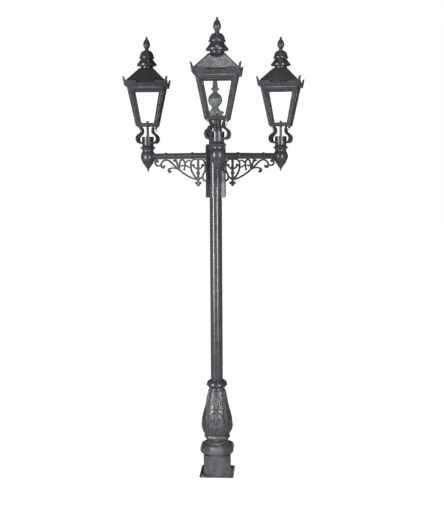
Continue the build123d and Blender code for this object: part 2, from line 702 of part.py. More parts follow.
with BuildPart() as conduit:
    with BuildSketch(Plane.XY.offset(BOSS_TOP)):
        Circle(CONDUIT_R)
    extrude(amount=CONDUIT_TOP - BOSS_TOP)
    with BuildSketch(Plane.XY.offset(CUP_FLOOR)):
        hexagon(CONDUIT_NUT_R + CONDUIT_WALL)
    extrude(amount=CONDUIT_NUT_T)
    with BuildSketch(Plane.XY.offset(BODY_Z + FLOOR_T)):
        hexagon(CONDUIT_NUT_R)
    extrude(amount=CONDUIT_NUT_T)
    with BuildSketch(Plane.XY.offset(CONDUIT_TOP)):
        Circle(CONDUIT_R + CONDUIT_WALL)
    extrude(amount=CONDUIT_NUT_T)
    chamfer(conduit.faces().sort_by(Axis.Z)[-1].edges(), CONDUIT_WALL)
    with BuildSketch(Plane.XY.offset(BOSS_TOP - OVER)):
        Circle(CONDUIT_R - CONDUIT_WALL)
    extrude(amount=CONDUIT_TOP - BOSS_TOP, mode=Mode.SUBTRACT)
save_group([conduit.part.moved(place) for place in LANTERN_PLACES], "lantern_conduits")

with BuildPart() as fixings:
    for point in FIXING_POINTS:
        with BuildSketch(Plane.XY.offset(BODY_Z - FIXING_LENGTH)):
            with Locations((point.X, point.Y)):
                Circle(FIXING_R)
        extrude(amount=FIXING_LENGTH + FLOOR_T)
        with BuildSketch(Plane.XY.offset(BODY_Z + FLOOR_T)):
            with Locations((point.X, point.Y)):
                hexagon(FIXING_NUT_R)
        extrude(amount=FIXING_NUT_T / 2)
        with BuildSketch(Plane.XY.offset(BODY_Z - LEG_FOOT_T - FIXING_NUT_T)):
            with Locations((point.X, point.Y)):
                hexagon(FIXING_NUT_R)
        extrude(amount=FIXING_NUT_T)
save_group([fixings.part.moved(place) for place in LANTERN_PLACES], "cradle_bolts")

# ---------------------------------------------------------------- lantern frame
def body_half(z, inset=0.0):
    """Half width of the body at a height, inset square to its sloping faces."""
    return BODY_HALF + (z - BODY_Z) * tan(TAPER) - inset / cos(TAPER)


def slant(z):
    """Distance up the sloping face, from the body's foot, of the point at height z."""
    return (z - BODY_Z) / cos(TAPER)


def face_plane(side, depth=0.0):
    """Plane of one sloping face: x along it, y up the slope, z outwards. Side 0 faces -Y."""
    across = heading(90 * side)
    out = heading(90 * side - 90)
    normal = out * cos(TAPER) + Vector(0, 0, -sin(TAPER))
    return Plane(origin=out * BODY_HALF + Vector(0, 0, BODY_Z) - normal * depth, x_dir=across, z_dir=normal)


def face_outline(z_low, z_high, bar_w):
    """Tapered outline on a face between two heights, a bar's width in from the corners."""
    low, high = body_half(z_low) - bar_w, body_half(z_high) - bar_w
    foot, head = slant(z_low), slant(z_high)
    Polygon((-low, foot), (low, foot), (high, head), (-high, head), align=None)


with BuildPart() as frame:
    for z in (BODY_Z, RIM_Z):
        with BuildSketch(Plane.XY.offset(z)):
            Rectangle(2 * body_half(z), 2 * body_half(z))
    loft()
    for z in (BODY_Z + FLOOR_T, RIM_Z + OVER):
        with BuildSketch(Plane.XY.offset(z)):
            Rectangle(2 * body_half(z, FRAME_T), 2 * body_half(z, FRAME_T))
    loft(mode=Mode.SUBTRACT)
    # door opening in front, glazed openings with a rebate on the other three faces
    with BuildSketch(face_plane(0)):
        face_outline(DOOR_Z[0], DOOR_Z[1], POST_W)
    extrude(amount=-FRAME_T - 2 * OVER, mode=Mode.SUBTRACT)
    for side in (1, 2, 3):
        with BuildSketch(face_plane(side)):
            face_outline(SIGHT_Z[0] - REBATE_W, SIGHT_Z[1] + REBATE_W, SIGHT_BAR - REBATE_W)
        extrude(amount=-REBATE_DEPTH, mode=Mode.SUBTRACT)
        with BuildSketch(face_plane(side)):
            face_outline(*SIGHT_Z, SIGHT_BAR)
        extrude(amount=-FRAME_T - 2 * OVER, mode=Mode.SUBTRACT)
    with BuildSketch(Plane.XY.offset(BODY_Z - OVER)):
        Circle(CONDUIT_R + CONDUIT_CLEAR)
        with Locations([(point.X, point.Y) for point in FIXING_POINTS]):
            Circle(FIXING_R + FIXING_CLEAR)
    extrude(amount=FLOOR_T + 2 * OVER, mode=Mode.SUBTRACT)


# hinge line: in front of the gap between the left post and the door's left stile
def door_height(share):
    return DOOR_Z[0] + share * (DOOR_Z[1] - DOOR_Z[0])


def hinge_point(share):
    z = door_height(share)
    return face_plane(0, -HINGE_RISE).from_local_coords((DOOR_GAP / 2 + POST_W - body_half(z), slant(z), 0))


HINGE_DIR = (hinge_point(1) - hinge_point(0)).normalized()


def hinge_plane(share, rise):
    """Plane square to the hinge line: x runs over the door, y runs back to the frame's face."""
    across = HINGE_DIR.cross(face_plane(0).z_dir)
    return Plane(origin=hinge_point(share) + HINGE_DIR * rise, x_dir=across, z_dir=HINGE_DIR)


def knuckle(share, place, side):
    """Knuckle with its leaf, at place -1, 0 or 1 along the hinge; side 1 is the door's, -1 the post's."""
    rise = place * (KNUCKLE_L + KNUCKLE_GAP) - KNUCKLE_L / 2
    with BuildSketch(hinge_plane(share, rise)) as section:
        Circle(KNUCKLE_R)
        with Locations((side * (DOOR_GAP + LEAF_W) / 2, HINGE_RISE - LEAF_T / 2)):
            Rectangle(LEAF_W, LEAF_T)
        with Locations((side * DOOR_GAP, HINGE_RISE - LEAF_T - KNUCKLE_R / 4)):
            Rectangle(KNUCKLE_R, KNUCKLE_R / 2)
    extrude(section.sketch, amount=KNUCKLE_L)


def pin_bores():
    for share in HINGE_AT:
        with BuildSketch(hinge_plane(share, -2 * KNUCKLE_L)) as bore:
            Circle(PIN_R + PIN_CLEAR)
        extrude(bore.sketch, amount=4 * KNUCKLE_L, mode=Mode.SUBTRACT)


with BuildPart() as hinged_frame:
    add(frame.part)
    for share in HINGE_AT:
        knuckle(share, -1, -1)
        knuckle(share, 1, -1)
    pin_bores()
save_at(hinged_frame.part, LANTERN_PLACES, "lantern_frame")

with BuildPart() as pins:
    for share in HINGE_AT:
        reach = 1.5 * KNUCKLE_L + KNUCKLE_GAP
        with BuildSketch(hinge_plane(share, -reach - PIN_HEAD_T)):
            Circle(PIN_R)
        extrude(amount=2 * reach + PIN_HEAD_T)
        with BuildSketch(hinge_plane(share, reach)):
            Circle(PIN_HEAD_R)
        extrude(amount=PIN_HEAD_T)
save_group([pins.part.moved(place) for place in LANTERN_PLACES], "hinge_pins")

# ---------------------------------------------------------------- glass
def pane(side, z_low, z_high, bar_w):
    """Pane of glass against the inner side of a face, lapping the bars round its opening."""
    with BuildSketch(face_plane(side, FRAME_T)) as outline:
        face_outline(z_low - GLASS_LAP, z_high + GLASS_LAP, bar_w - GLASS_LAP)
    extrude(outline.sketch, amount=-GLASS_T)


with BuildPart() as fixed_panes:
    for side in (1, 2, 3):
        pane(side, *SIGHT_Z, SIGHT_BAR)
save_at(fixed_panes.part, LANTERN_PLACES, "fixed_panes")

with BuildPart() as door_pane:
    pane(0, *SIGHT_Z, SIGHT_BAR)
save_at(door_pane.part, LANTERN_PLACES, "door_pane")

# ---------------------------------------------------------------- door and catch
catch_z = door_height(CATCH_AT)
catch_spot = face_plane(0).from_local_coords(
    (body_half(catch_z) - POST_W - DOOR_GAP - CATCH_INSET, slant(catch_z), 0)
)


def catch_plane(depth):
    """Plane on the catch's axis at a depth below the door's face, x along the door's face."""
    face = face_plane(0)
    return Plane(origin=catch_spot - face.z_dir * depth, x_dir=face.x_dir, z_dir=face.z_dir)


with BuildPart() as door:
    with BuildSketch(face_plane(0)):
        face_outline(DOOR_Z[0] + DOOR_GAP, DOOR_Z[1] - DOOR_HEAD_GAP, POST_W + DOOR_GAP)
    extrude(amount=-FRAME_T)
    with BuildSketch(face_plane(0)):
        face_outline(SIGHT_Z[0] - REBATE_W, SIGHT_Z[1] + REBATE_W, SIGHT_BAR - REBATE_W)
    extrude(amount=-REBATE_DEPTH, mode=Mode.SUBTRACT)
    with BuildSketch(face_plane(0)):
        face_outline(*SIGHT_Z, SIGHT_BAR)
    extrude(amount=-FRAME_T - OVER, mode=Mode.SUBTRACT)
    for share in HINGE_AT:
        knuckle(share, 0, 1)
    pin_bores()
    with BuildSketch(catch_plane(FRAME_T + OVER)):
        Circle(CATCH_R + CATCH_CLEAR)
    extrude(amount=FRAME_T + 2 * OVER, mode=Mode.SUBTRACT)
save_at(door.part, LANTERN_PLACES, "door")

with BuildPart() as catch:
    with BuildSketch(catch_plane(FRAME_T + CAM_CLEAR + CAM_T)):
        Circle(CATCH_R)
    extrude(amount=FRAME_T + CAM_CLEAR + CAM_T + CAM_CLEAR)
    with BuildSketch(catch_plane(-CAM_CLEAR)):
        Circle(CATCH_ROSE_R)
    extrude(amount=CATCH_ROSE_T)
    with BuildSketch(catch_plane(-CAM_CLEAR - CATCH_ROSE_T)):
        SlotOverall(CATCH_WING[0], CATCH_WING[1], rotation=90)
    extrude(amount=CATCH_WING[2])
    with BuildSketch(catch_plane(FRAME_T + CAM_CLEAR + CAM_T)):
        Circle(CATCH_R)
        with Locations((0, -CAM_REACH / 2)):
            Rectangle(CAM_W, CAM_REACH)
    extrude(amount=CAM_T)
save_at(catch.part, LANTERN_PLACES, "door_catch")

# ---------------------------------------------------------------- gallery: cornice and cresting
CORNICE_Z = RIM_Z - CORNICE_DROP
HORN_TIP_Z = RIM_Z + HORN_H


def tapered(z_low, half_low, z_high, half_high, mode=Mode.ADD):
    """Square block or opening whose half width changes evenly between two heights."""
    with BuildSketch(Plane.XY.offset(z_low)) as low:
        Rectangle(2 * half_low, 2 * half_low)
    with BuildSketch(Plane.XY.offset(z_high)) as high:
        Rectangle(2 * half_high, 2 * half_high)
    loft(sections=[low.sketch, high.sketch], mode=mode)


with BuildPart() as gallery:
    # cornice moulding round the frame, and cresting plates that lean outwards
    tapered(CORNICE_Z, CORNICE_HALF - CORNICE_CHAMFER, CORNICE_Z + CORNICE_CHAMFER, CORNICE_HALF)
    tapered(CORNICE_Z + CORNICE_CHAMFER, CORNICE_HALF, RIM_Z, CORNICE_HALF)
    tapered(RIM_Z, CORNICE_HALF, HORN_TIP_Z, CORNICE_HALF + CREST_LEAN)
    inner = CORNICE_HALF - CREST_T
    tapered(RIM_Z, inner, HORN_TIP_Z, inner + CREST_LEAN, mode=Mode.SUBTRACT)
    # upper edge of the cresting: low in the middle, raised beside it, with a leaf at each corner
    edge_points = scaled(CORNICE_HALF, RIM_Z, HORN_H)
    for plane in (Plane.XZ, Plane.YZ):
        with BuildSketch(plane):
            with BuildLine():
                middle = Line((0, RIM_Z + CREST_LOW), (0.39 * CORNICE_HALF, RIM_Z + CREST_LOW))
                step = SagittaArc(middle @ 1, (0.48 * CORNICE_HALF, RIM_Z + CREST_HIGH), 0.02 * CORNICE_HALF)
                dip = SagittaArc(step @ 1, (0.87 * CORNICE_HALF, RIM_Z + CREST_HIGH), 0.01 * CORNICE_HALF)
                hollow = SagittaArc(dip @ 1, *edge_points((0.945, 0.7)), -0.02 * CORNICE_HALF)
                leaf = SagittaArc(hollow @ 1, *edge_points((1.025, 1.0)), 0.015 * CORNICE_HALF)
                Polyline(leaf @ 1, *edge_points((1.025, 1.2), (0, 1.2)))
                mirror(about=Plane.YZ)
            make_face()
        extrude(amount=2 * CORNICE_HALF, both=True, mode=Mode.SUBTRACT)
    # tapered seat for the frame
    low, high = CORNICE_Z - OVER, RIM_Z + OVER
    tapered(low, body_half(low) + CORNICE_GAP, high, body_half(high) + CORNICE_GAP, mode=Mode.SUBTRACT)
save_at(gallery.part, LANTERN_PLACES, "gallery")

# ---------------------------------------------------------------- roof
with BuildPart() as roof:
    tapered(RIM_Z, SKIRT_HALF, EAVE_Z, SKIRT_HALF)
    tapered(EAVE_Z, EAVE_HALF, ROOF_TOP_Z, ROOF_TOP_HALF)
    hip_foot = Vector(EAVE_HALF, EAVE_HALF, EAVE_Z)
    hip_run = Vector(ROOF_TOP_HALF, ROOF_TOP_HALF, ROOF_TOP_Z) - hip_foot
    with BuildSketch(Plane(origin=hip_foot + hip_run.normalized() * HIP_R, z_dir=hip_run)):
        Circle(HIP_R)
    extrude(amount=hip_run.length - 2 * HIP_R)
    mirror(about=Plane.XZ)
    mirror(about=Plane.YZ)
    room = SKIRT_HALF - SKIRT_T
    tapered(RIM_Z - OVER, room, EAVE_Z, room, mode=Mode.SUBTRACT)
    tapered(EAVE_Z, room, ROOF_TOP_Z - ROOF_WALL, ROOF_TOP_HALF - ROOF_WALL / 2, mode=Mode.SUBTRACT)
    with BuildSketch(Plane.XY.offset(ROOF_TOP_Z - 2 * ROOF_WALL)):
        Circle(VENT_R)
    extrude(amount=4 * ROOF_WALL, mode=Mode.SUBTRACT)
save_at(roof.part, LANTERN_PLACES, "roof")

# ---------------------------------------------------------------- chimney and finial
with BuildPart() as chimney:
    with BuildSketch(Plane.XZ):
        with BuildLine():
            chimney_points = scaled(CHIMNEY_R, ROOF_TOP_Z, CHIMNEY_H)
            drum = chimney_points((0.632, 0), (0.632, 0.12), (0.69, 0.143), (0.985, 0.154), (1.0, 0.234))
            Polyline((VENT_R, ROOF_TOP_Z), *drum)
            brim = SagittaArc(drum[-1], *chimney_points((0.625, 0.5)), 0.02 * CHIMNEY_R)
            ring = chimney_points((0.61, 0.537), (0.747, 0.56), (0.768, 0.611), (0.684, 0.669))
            Polyline(brim @ 1, *ring)
            dome = SagittaArc(ring[-1], *chimney_points((0.442, 0.931)), -0.055 * CHIMNEY_R)
            Polyline(dome @ 1, *chimney_points((0.2, 0.983), (0.2, 1.0), (0, 1.0), (0, 0.949), (0.379, 0.88),
                                               (0.568, 0.646), (0.526, 0.509), (0.589, 0.257)),
                     (VENT_R, ROOF_TOP_Z + 0.13 * CHIMNEY_H), (VENT_R, ROOF_TOP_Z))
        make_face()
    revolve(axis=Axis.Z)
save_at(chimney.part, LANTERN_PLACES, "chimney")

with BuildPart() as finial:
    with BuildSketch(Plane.XZ):
        with BuildLine():
            finial_points = scaled(FINIAL_R, CHIMNEY_TOP, FINIAL_H)
            foot = Polyline(*finial_points((0, 0), (0.576, 0), (0.6, 0.03), (0.5, 0.09)))
            bulb = ThreePointArc(foot @ 1, *finial_points((1.0, 0.39), (0.66, 0.69)))
            waist = SagittaArc(bulb @ 1, *finial_points((0.26, 0.85)), 0.05 * FINIAL_R)
            Polyline(waist @ 1, *finial_points((0.31, 0.91), (0.23, 0.97), (0, 1.0), (0, 0)))
        make_face()
    revolve(axis=Axis.Z)
save_at(finial.part, LANTERN_PLACES, "finial")

# ---------------------------------------------------------------- gear tray and lamp module
with BuildPart() as tray:
    tray_half = body_half(TRAY_Z, FRAME_T) - TRAY_GAP
    with BuildSketch(Plane.XY.offset(TRAY_Z)):
        Rectangle(2 * tray_half, 2 * tray_half)
    extrude(amount=TRAY_T)
    with BuildSketch(Plane.XY.offset(TRAY_Z + TRAY_T)):
        RectangleRounded(DRIVER[0], DRIVER[1], 4)
    extrude(amount=DRIVER[2])
save_group([tray.part.moved(place) for place in LANTERN_PLACES], "gear_trays")

with BuildPart() as module:
    with BuildSketch(Plane.XY.offset(TRAY_Z)):
        RectangleRounded(2 * MODULE_HALF, 2 * MODULE_HALF, 6)
    extrude(amount=-MODULE_T)
    with BuildSketch(Plane.XY.offset(TRAY_Z - MODULE_T)):
        with GridLocations(MODULE_HALF, MODULE_HALF, 2, 2):
            Circle(LENS_R)
    extrude(amount=-LENS_T)
save_group([module.part.moved(place) for place in LANTERN_PLACES], "lamp_modules")

# ---------------------------------------------------------------- column cap and top finial
with BuildPart() as cap:
    with BuildSketch(Plane.XZ):
        with BuildLine():
            cap_points = scaled(CAP_R, HEAD_TOP, CAP_H)
            spigot_r = TUBE_R - TUBE_WALL - SEAT
            spigot_z = HEAD_TOP - SPIGOT_L
            Polyline((0, spigot_z), (spigot_r, spigot_z), (spigot_r, HEAD_TOP), (CAP_R, HEAD_TOP))
            band = cap_points((1.0, 0.477), (1.164, 0.49), (1.246, 0.523), (1.164, 0.556), (0.951, 0.576),
                              (0.918, 0.615))
            Polyline((CAP_R, HEAD_TOP), *band)
            vase = SagittaArc(band[-1], *cap_points((1.082, 0.885)), 0.05 * CAP_R)
            lip = cap_points((1.328, 0.944), (1.328, 0.974), (1.148, 1.0), (0, 1.0))
            Polyline(vase @ 1, *lip, (0, spigot_z))
        make_face()
    revolve(axis=Axis.Z)
save(cap.part, "column_cap")

with BuildPart() as top_finial:
    with BuildSketch(Plane.XZ):
        with BuildLine():
            top_points = scaled(TOP_FINIAL_R, CAP_TOP, TOP_FINIAL_H)
            foot = Polyline(*top_points((0, 0), (0.708, 0), (0.677, 0.028)))
            neck = SagittaArc(foot @ 1, *top_points((0.477, 0.089)), 0.06 * TOP_FINIAL_R)
            ball = ThreePointArc(neck @ 1, *top_points((1.0, 0.222), (0.369, 0.361)))
            stalk = SagittaArc(ball @ 1, *top_points((0.369, 0.408)), 0.045 * TOP_FINIAL_R)
            rim = top_points((0.6, 0.421), (0.631, 0.436), (0.554, 0.451), (0.4, 0.464))
            ring = Polyline(stalk @ 1, *rim)
            spire = SagittaArc(ring @ 1, *top_points((0.08, 0.991)), 0.03 * TOP_FINIAL_R)
            Polyline(spire @ 1, *top_points((0, 1.0), (0, 0)))
        make_face()
    revolve(axis=Axis.Z)
save(top_finial.part, "top_finial")
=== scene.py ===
"""Looks for the triple head lamp post. Metres, +Z up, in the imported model's own frame."""
import bpy
import numpy as np
from mathutils import Matrix, Vector


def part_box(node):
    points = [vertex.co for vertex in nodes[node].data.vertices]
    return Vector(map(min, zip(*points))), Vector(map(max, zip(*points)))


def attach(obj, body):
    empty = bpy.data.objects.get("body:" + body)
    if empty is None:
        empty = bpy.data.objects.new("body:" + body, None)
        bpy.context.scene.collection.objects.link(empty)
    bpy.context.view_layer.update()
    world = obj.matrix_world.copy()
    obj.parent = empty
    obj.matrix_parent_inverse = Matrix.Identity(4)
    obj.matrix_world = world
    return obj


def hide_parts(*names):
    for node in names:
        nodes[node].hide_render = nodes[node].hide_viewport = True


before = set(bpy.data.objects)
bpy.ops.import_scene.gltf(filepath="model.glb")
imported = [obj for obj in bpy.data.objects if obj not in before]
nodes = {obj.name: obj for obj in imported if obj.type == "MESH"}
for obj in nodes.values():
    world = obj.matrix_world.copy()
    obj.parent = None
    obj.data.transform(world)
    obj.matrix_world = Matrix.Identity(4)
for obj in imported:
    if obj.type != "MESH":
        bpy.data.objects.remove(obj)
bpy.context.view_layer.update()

ARMS = ("front", "left", "right")
ARM_ANGLES = dict(zip(ARMS, np.radians((-84.6, 155.4, 35.4))))
ARM_Z = 3.023


# ---------------------------------------------------------------- finishes
def finish_nodes(name):
    """A new material with its node tree, shader and object coordinates."""
    made = bpy.data.materials.new(name)
    made.use_nodes = True
    tree = made.node_tree
    shader = tree.nodes["Principled BSDF"]
    place = tree.nodes.new("ShaderNodeTexCoord")
    return made, tree, shader, place.outputs["Object"]


def noise(tree, vector, scale, detail=3.0, roughness=0.55):
    """Output of a noise texture that reads a vector."""
    made = tree.nodes.new("ShaderNodeTexNoise")
    made.inputs["Scale"].default_value = scale
    made.inputs["Detail"].default_value = detail
    made.inputs["Roughness"].default_value = roughness
    tree.links.new(vector, made.inputs["Vector"])
    return made.outputs["Fac"]


def spread(tree, value, low, high, from_low=0.35, from_high=0.65):
    """A value between from_low and from_high, stretched to run from low to high and held at both ends."""
    made = tree.nodes.new("ShaderNodeMapRange")
    made.inputs["From Min"].default_value = from_low
    made.inputs["From Max"].default_value = from_high
    made.inputs["To Min"].default_value = low
    made.inputs["To Max"].default_value = high
    tree.links.new(value, made.inputs["Value"])
    return made.outputs["Result"]


def blend_colours(tree, fac, first, second):
    """A colour between two, by a share from 0 to 1."""
    made = tree.nodes.new("ShaderNodeMix")
    made.data_type = "RGBA"
    made.inputs[6].default_value = (*first, 1)
    made.inputs[7].default_value = (*second, 1)
    tree.links.new(fac, made.inputs[0])
    return made.outputs[2]


def add_bumps(tree, shader, height, strength, distance):
    """Let a height tilt the shader's normals."""
    made = tree.nodes.new("ShaderNodeBump")
    made.inputs["Strength"].default_value = strength
    made.inputs["Distance"].default_value = distance
    tree.links.new(height, made.inputs["Height"])
    tree.links.new(made.outputs["Normal"], shader.inputs["Normal"])


def casting_paint(name, dark, light, gloss, grain):
    """Dark grey paint over sand-cast iron: faint mottling, a fine cast grain and slow gloss changes."""
    made, tree, shader, place = finish_nodes(name)
    mottle = noise(tree, place, 9.0, 5.0)
    tree.links.new(blend_colours(tree, spread(tree, mottle, 0, 1), dark, light), shader.inputs["Base Color"])
    gloss_changes = noise(tree, place, 23.0, 4.0)
    tree.links.new(spread(tree, gloss_changes, gloss - 0.06, gloss + 0.08), shader.inputs["Roughness"])
    add_bumps(tree, shader, noise(tree, place, grain, 3.0), 0.1, 0.0006)
    shader.inputs["Specular IOR Level"].default_value = 0.5
    return made


def metal(name, colour, shade, rough, grain):
    """Bare fixing metal, a little uneven in colour and gloss."""
    made, tree, shader, place = finish_nodes(name)
    tree.links.new(blend_colours(tree, spread(tree, noise(tree, place, 90.0), 0, 1), colour, shade),
                   shader.inputs["Base Color"])
    tree.links.new(spread(tree, noise(tree, place, 160.0), rough, rough + 0.18), shader.inputs["Roughness"])
    add_bumps(tree, shader, noise(tree, place, grain), 0.15, 0.0003)
    shader.inputs["Metallic"].default_value = 1.0
    return made


def pane_glass():
    """Clear glass with a breath of dust."""
    made, tree, shader, place = finish_nodes("pane_glass")
    tree.links.new(spread(tree, noise(tree, place, 6.0, 4.0), 0.0, 0.04), shader.inputs["Roughness"])
    shader.inputs["Base Color"].default_value = (0.97, 0.985, 0.98, 1)
    shader.inputs["Transmission Weight"].default_value = 1.0
    shader.inputs["IOR"].default_value = 1.45
    return made


def white_plastic():
    """White plastic of the lamp module, slightly uneven in tone and gloss."""
    made, tree, shader, place = finish_nodes("lamp_plastic")
    tree.links.new(blend_colours(tree, noise(tree, place, 40.0), (0.82, 0.82, 0.79), (0.88, 0.88, 0.86)),
                   shader.inputs["Base Color"])
    tree.links.new(spread(tree, noise(tree, place, 70.0), 0.35, 0.5), shader.inputs["Roughness"])
    return made


PAINT = casting_paint("casting_paint", (0.029, 0.030, 0.033), (0.040, 0.041, 0.045), 0.27, 420.0)
TUBE_PAINT = casting_paint("tube_paint", (0.031, 0.032, 0.035), (0.042, 0.043, 0.047), 0.22, 260.0)
BOLT_PAINT = casting_paint("bolt_paint", (0.028, 0.029, 0.032), (0.038, 0.039, 0.043), 0.27, 500.0)
BRASSY = metal("cradle_bolt_metal", (0.62, 0.57, 0.44), (0.44, 0.40, 0.30), 0.28, 700.0)
STEEL = metal("pin_steel", (0.50, 0.50, 0.51), (0.36, 0.36, 0.37), 0.30, 700.0)
TRAY = metal("tray_metal", (0.75, 0.76, 0.77), (0.66, 0.67, 0.68), 0.35, 300.0)
GLASS = pane_glass()
PLASTIC = white_plastic()


def dress(node, finish):
    """Give a CAD node its one material."""
    mesh = nodes[node].data
    mesh.materials.clear()
    mesh.materials.append(finish)


for node in nodes:
    dress(node, PAINT)
for node, finish in (("shaft_tube", TUBE_PAINT), ("head_bolts", BOLT_PAINT), ("cradle_bolts", BRASSY),
                     ("hinge_pins", STEEL), ("gear_trays", TRAY), ("lamp_modules", PLASTIC)):
    dress(node, finish)
for arm in ARMS:
    dress(arm + "_arm_tube", TUBE_PAINT)
    dress(arm + "_fixed_panes", GLASS)
    dress(arm + "_door_pane", GLASS)


# ---------------------------------------------------------------- shapes
def smooth(points, steps):
    """A curve through points: between each two of them, the cubic that leaves and arrives along the line
    through their neighbours, taken at evenly spaced shares of every gap."""
    knots = np.asarray(points, float)
    before = np.vstack((2 * knots[:1] - knots[1:2], knots[:-2]))
    after = np.vstack((knots[2:], 2 * knots[-1:] - knots[-2:-1]))
    first, second = knots[:-1], knots[1:]
    t = (np.arange(steps) / steps)[None, :, None]
    leave = (second - before)[:, None] / 2
    arrive = (after - first)[:, None] / 2
    curve = ((2 * t**3 - 3 * t**2 + 1) * first[:, None] + (t**3 - 2 * t**2 + t) * leave
             + (3 * t**2 - 2 * t**3) * second[:, None] + (t**3 - t**2) * arrive)
    return np.vstack((curve.reshape(-1, knots.shape[1]), knots[-1:]))


def sharp(*runs):
    """Several smooth runs one after another, so that a corner stays where one ends and the next begins."""
    return np.vstack([runs[0]] + [run[1:] for run in runs[1:]])


def shell(rings, shut):
    """Points and faces of one closed surface over rings of points, each ring going anticlockwise seen from
    above its axis. With shut, the last ring is joined to the first. Otherwise each end closes to the middle
    of its ring."""
    count, around = rings.shape[:2]
    points = rings.reshape(-1, 3)
    rows = np.arange(count if shut else count - 1)[:, None] * around
    nexts = (rows + around) % (count * around)
    here = np.arange(around)[None, :]
    there = (here + 1) % around
    faces = np.stack((rows + here, rows + there, nexts + there, nexts + here), -1).reshape(-1, 4).tolist()
    if not shut:
        last = (count - 1) * around
        points = np.vstack((points, rings[0].mean(0), rings[-1].mean(0)))
        low, high = np.full(around, len(points) - 2), np.full(around, len(points) - 1)
        faces += np.stack((there[0], here[0], low), -1).tolist()
        faces += np.stack((last + here[0], last + there[0], high), -1).tolist()
    return points, faces


def skin(name, shells, finish, body="post"):
    """One piece made of one or more closed surfaces."""
    points, faces, start = [], [], 0
    for part_points, part_faces in shells:
        points.append(part_points)
        faces += [[corner + start for corner in face] for face in part_faces]
        start += len(part_points)
    made = bpy.data.meshes.new(name)
    made.from_pydata(np.vstack(points), [], faces)
    made.shade_smooth()
    made.materials.append(finish)
    piece = bpy.data.objects.new(name, made)
    bpy.context.scene.collection.objects.link(piece)
    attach(piece, body)
    return piece


def turned(centre, outline, swell, around):
    """Rings of a turned piece: outline gives radius and height, and swell(angle, share of the height)
    multiplies the radius."""
    angle = np.linspace(0, 2 * np.pi, around, endpoint=False)[None, :]
    radius, height = outline[:, :1], outline[:, 1:]
    share = (height - height.min()) / np.ptp(height)
    wide = radius * swell(angle, share)
    return np.stack((centre[0] + wide * np.cos(angle), centre[1] + wide * np.sin(angle),
                     centre[2] + height + 0 * angle), -1)


def window(share, low, high, soft=0.04):
    """One between low and high and nothing outside, with soft shoulders."""
    rise = np.clip((share - low) / soft, 0, 1)
    fall = np.clip((high - share) / soft, 0, 1)
    return rise * rise * (3 - 2 * rise) * fall * fall * (3 - 2 * fall)


def place_of(node):
    """Middle of a turned node's foot, its greatest radius and its height, from the CAD box."""
    low, high = (np.array(corner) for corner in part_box(node))
    middle = (low + high) / 2
    return np.array((middle[0], middle[1], low[2])), (high[0] - low[0]) / 2, high[2] - low[2]


# ---------------------------------------------------------------- lantern finials, pendants and top finial
def lantern_finial(arm):
    """Flame finial: a bulb with eight ribs that wind a sixth of a turn from its foot to its neck."""
    centre, radius, height = place_of(arm + "_finial")
    shares = sharp(
        smooth([(0.0, 0.0), (0.576, 0.0)], 3),
        smooth([(0.576, 0.0), (0.6, 0.03), (0.5, 0.09)], 4),
        smooth([(0.5, 0.09), (0.79, 0.2), (0.975, 0.36), (0.93, 0.52), (0.66, 0.69), (0.39, 0.79),
                (0.26, 0.85)], 9),
        smooth([(0.26, 0.85), (0.32, 0.9), (0.24, 0.965), (0.0, 1.0)], 6),
    )

    def ribs(angle, share):
        crest = np.abs(np.cos(4 * (angle + 2.2 * share)))
        return 1 + 0.09 * window(share, 0.1, 0.84, 0.12) * (crest - 0.62)

    rings = turned(centre, shares[1:-1] * (radius, height), ribs, 96)
    piece = skin(arm + "_flame_finial", [shell(rings, False)], PAINT)
    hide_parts(arm + "_finial")


def boss_pendant(arm):
    """Pendant under a boss: a lipped cone of eight petals, each a shallow hollow between raised edges."""
    centre, radius, height = place_of(arm + "_pendant")
    shares = sharp(
        smooth([(0.0, 0.0), (0.1, 0.02), (0.17, 0.08), (0.17, 0.17), (0.13, 0.22)], 5),
        smooth([(0.13, 0.22), (0.35, 0.42), (0.62, 0.66), (0.89, 0.895)], 12),
        smooth([(0.89, 0.895), (1.0, 0.954), (0.909, 0.999)], 4),
        smooth([(0.909, 0.999), (0.0, 1.0)], 3),
    )

    def petals(angle, share):
        hollow = np.abs(np.sin(4 * angle))
        return 1 - 0.1 * window(share, 0.2, 0.9, 0.1) * (1 - hollow) ** 2

    rings = turned(centre, shares[1:-1] * (radius, height), petals, 96)
    piece = skin(arm + "_petal_pendant", [shell(rings, False)], PAINT)
    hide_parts(arm + "_pendant")


def post_finial():
    """Ball and spire on the column: twelve lobes wind round the ball, and the spire has six soft flutes."""
    centre, radius, height = place_of("top_finial")
    shares = sharp(
        smooth([(0.0, 0.0), (0.708, 0.0)], 3),
        smooth([(0.708, 0.0), (0.677, 0.028)], 2),
        smooth([(0.677, 0.028), (0.53, 0.055), (0.477, 0.089)], 4),
        smooth([(0.477, 0.089), (0.8, 0.13), (0.985, 0.195), (0.97, 0.255), (0.72, 0.32),
                (0.369, 0.361)], 10),
        smooth([(0.369, 0.361), (0.335, 0.384), (0.369, 0.408)], 4),
        smooth([(0.369, 0.408), (0.6, 0.421), (0.631, 0.436), (0.554, 0.451), (0.4, 0.464)], 4),
        smooth([(0.4, 0.464), (0.21, 0.72), (0.08, 0.985), (0.0, 1.0)], 14),
    )

    def lobes(angle, share):
        ball = window(share, 0.095, 0.355, 0.05) * (np.abs(np.cos(6 * (angle + 5.0 * share))) - 0.6)
        spire = window(share, 0.48, 0.95, 0.08) * (np.abs(np.cos(3 * angle)) - 0.6)
        return 1 + 0.07 * ball + 0.08 * spire

    rings = turned(centre, shares[1:-1] * (radius, height), lobes, 144)
    piece = skin("ball_and_spire", [shell(rings, False)], PAINT)
    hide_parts("top_finial")


for arm in ARMS:
    lantern_finial(arm)
    boss_pendant(arm)
post_finial()


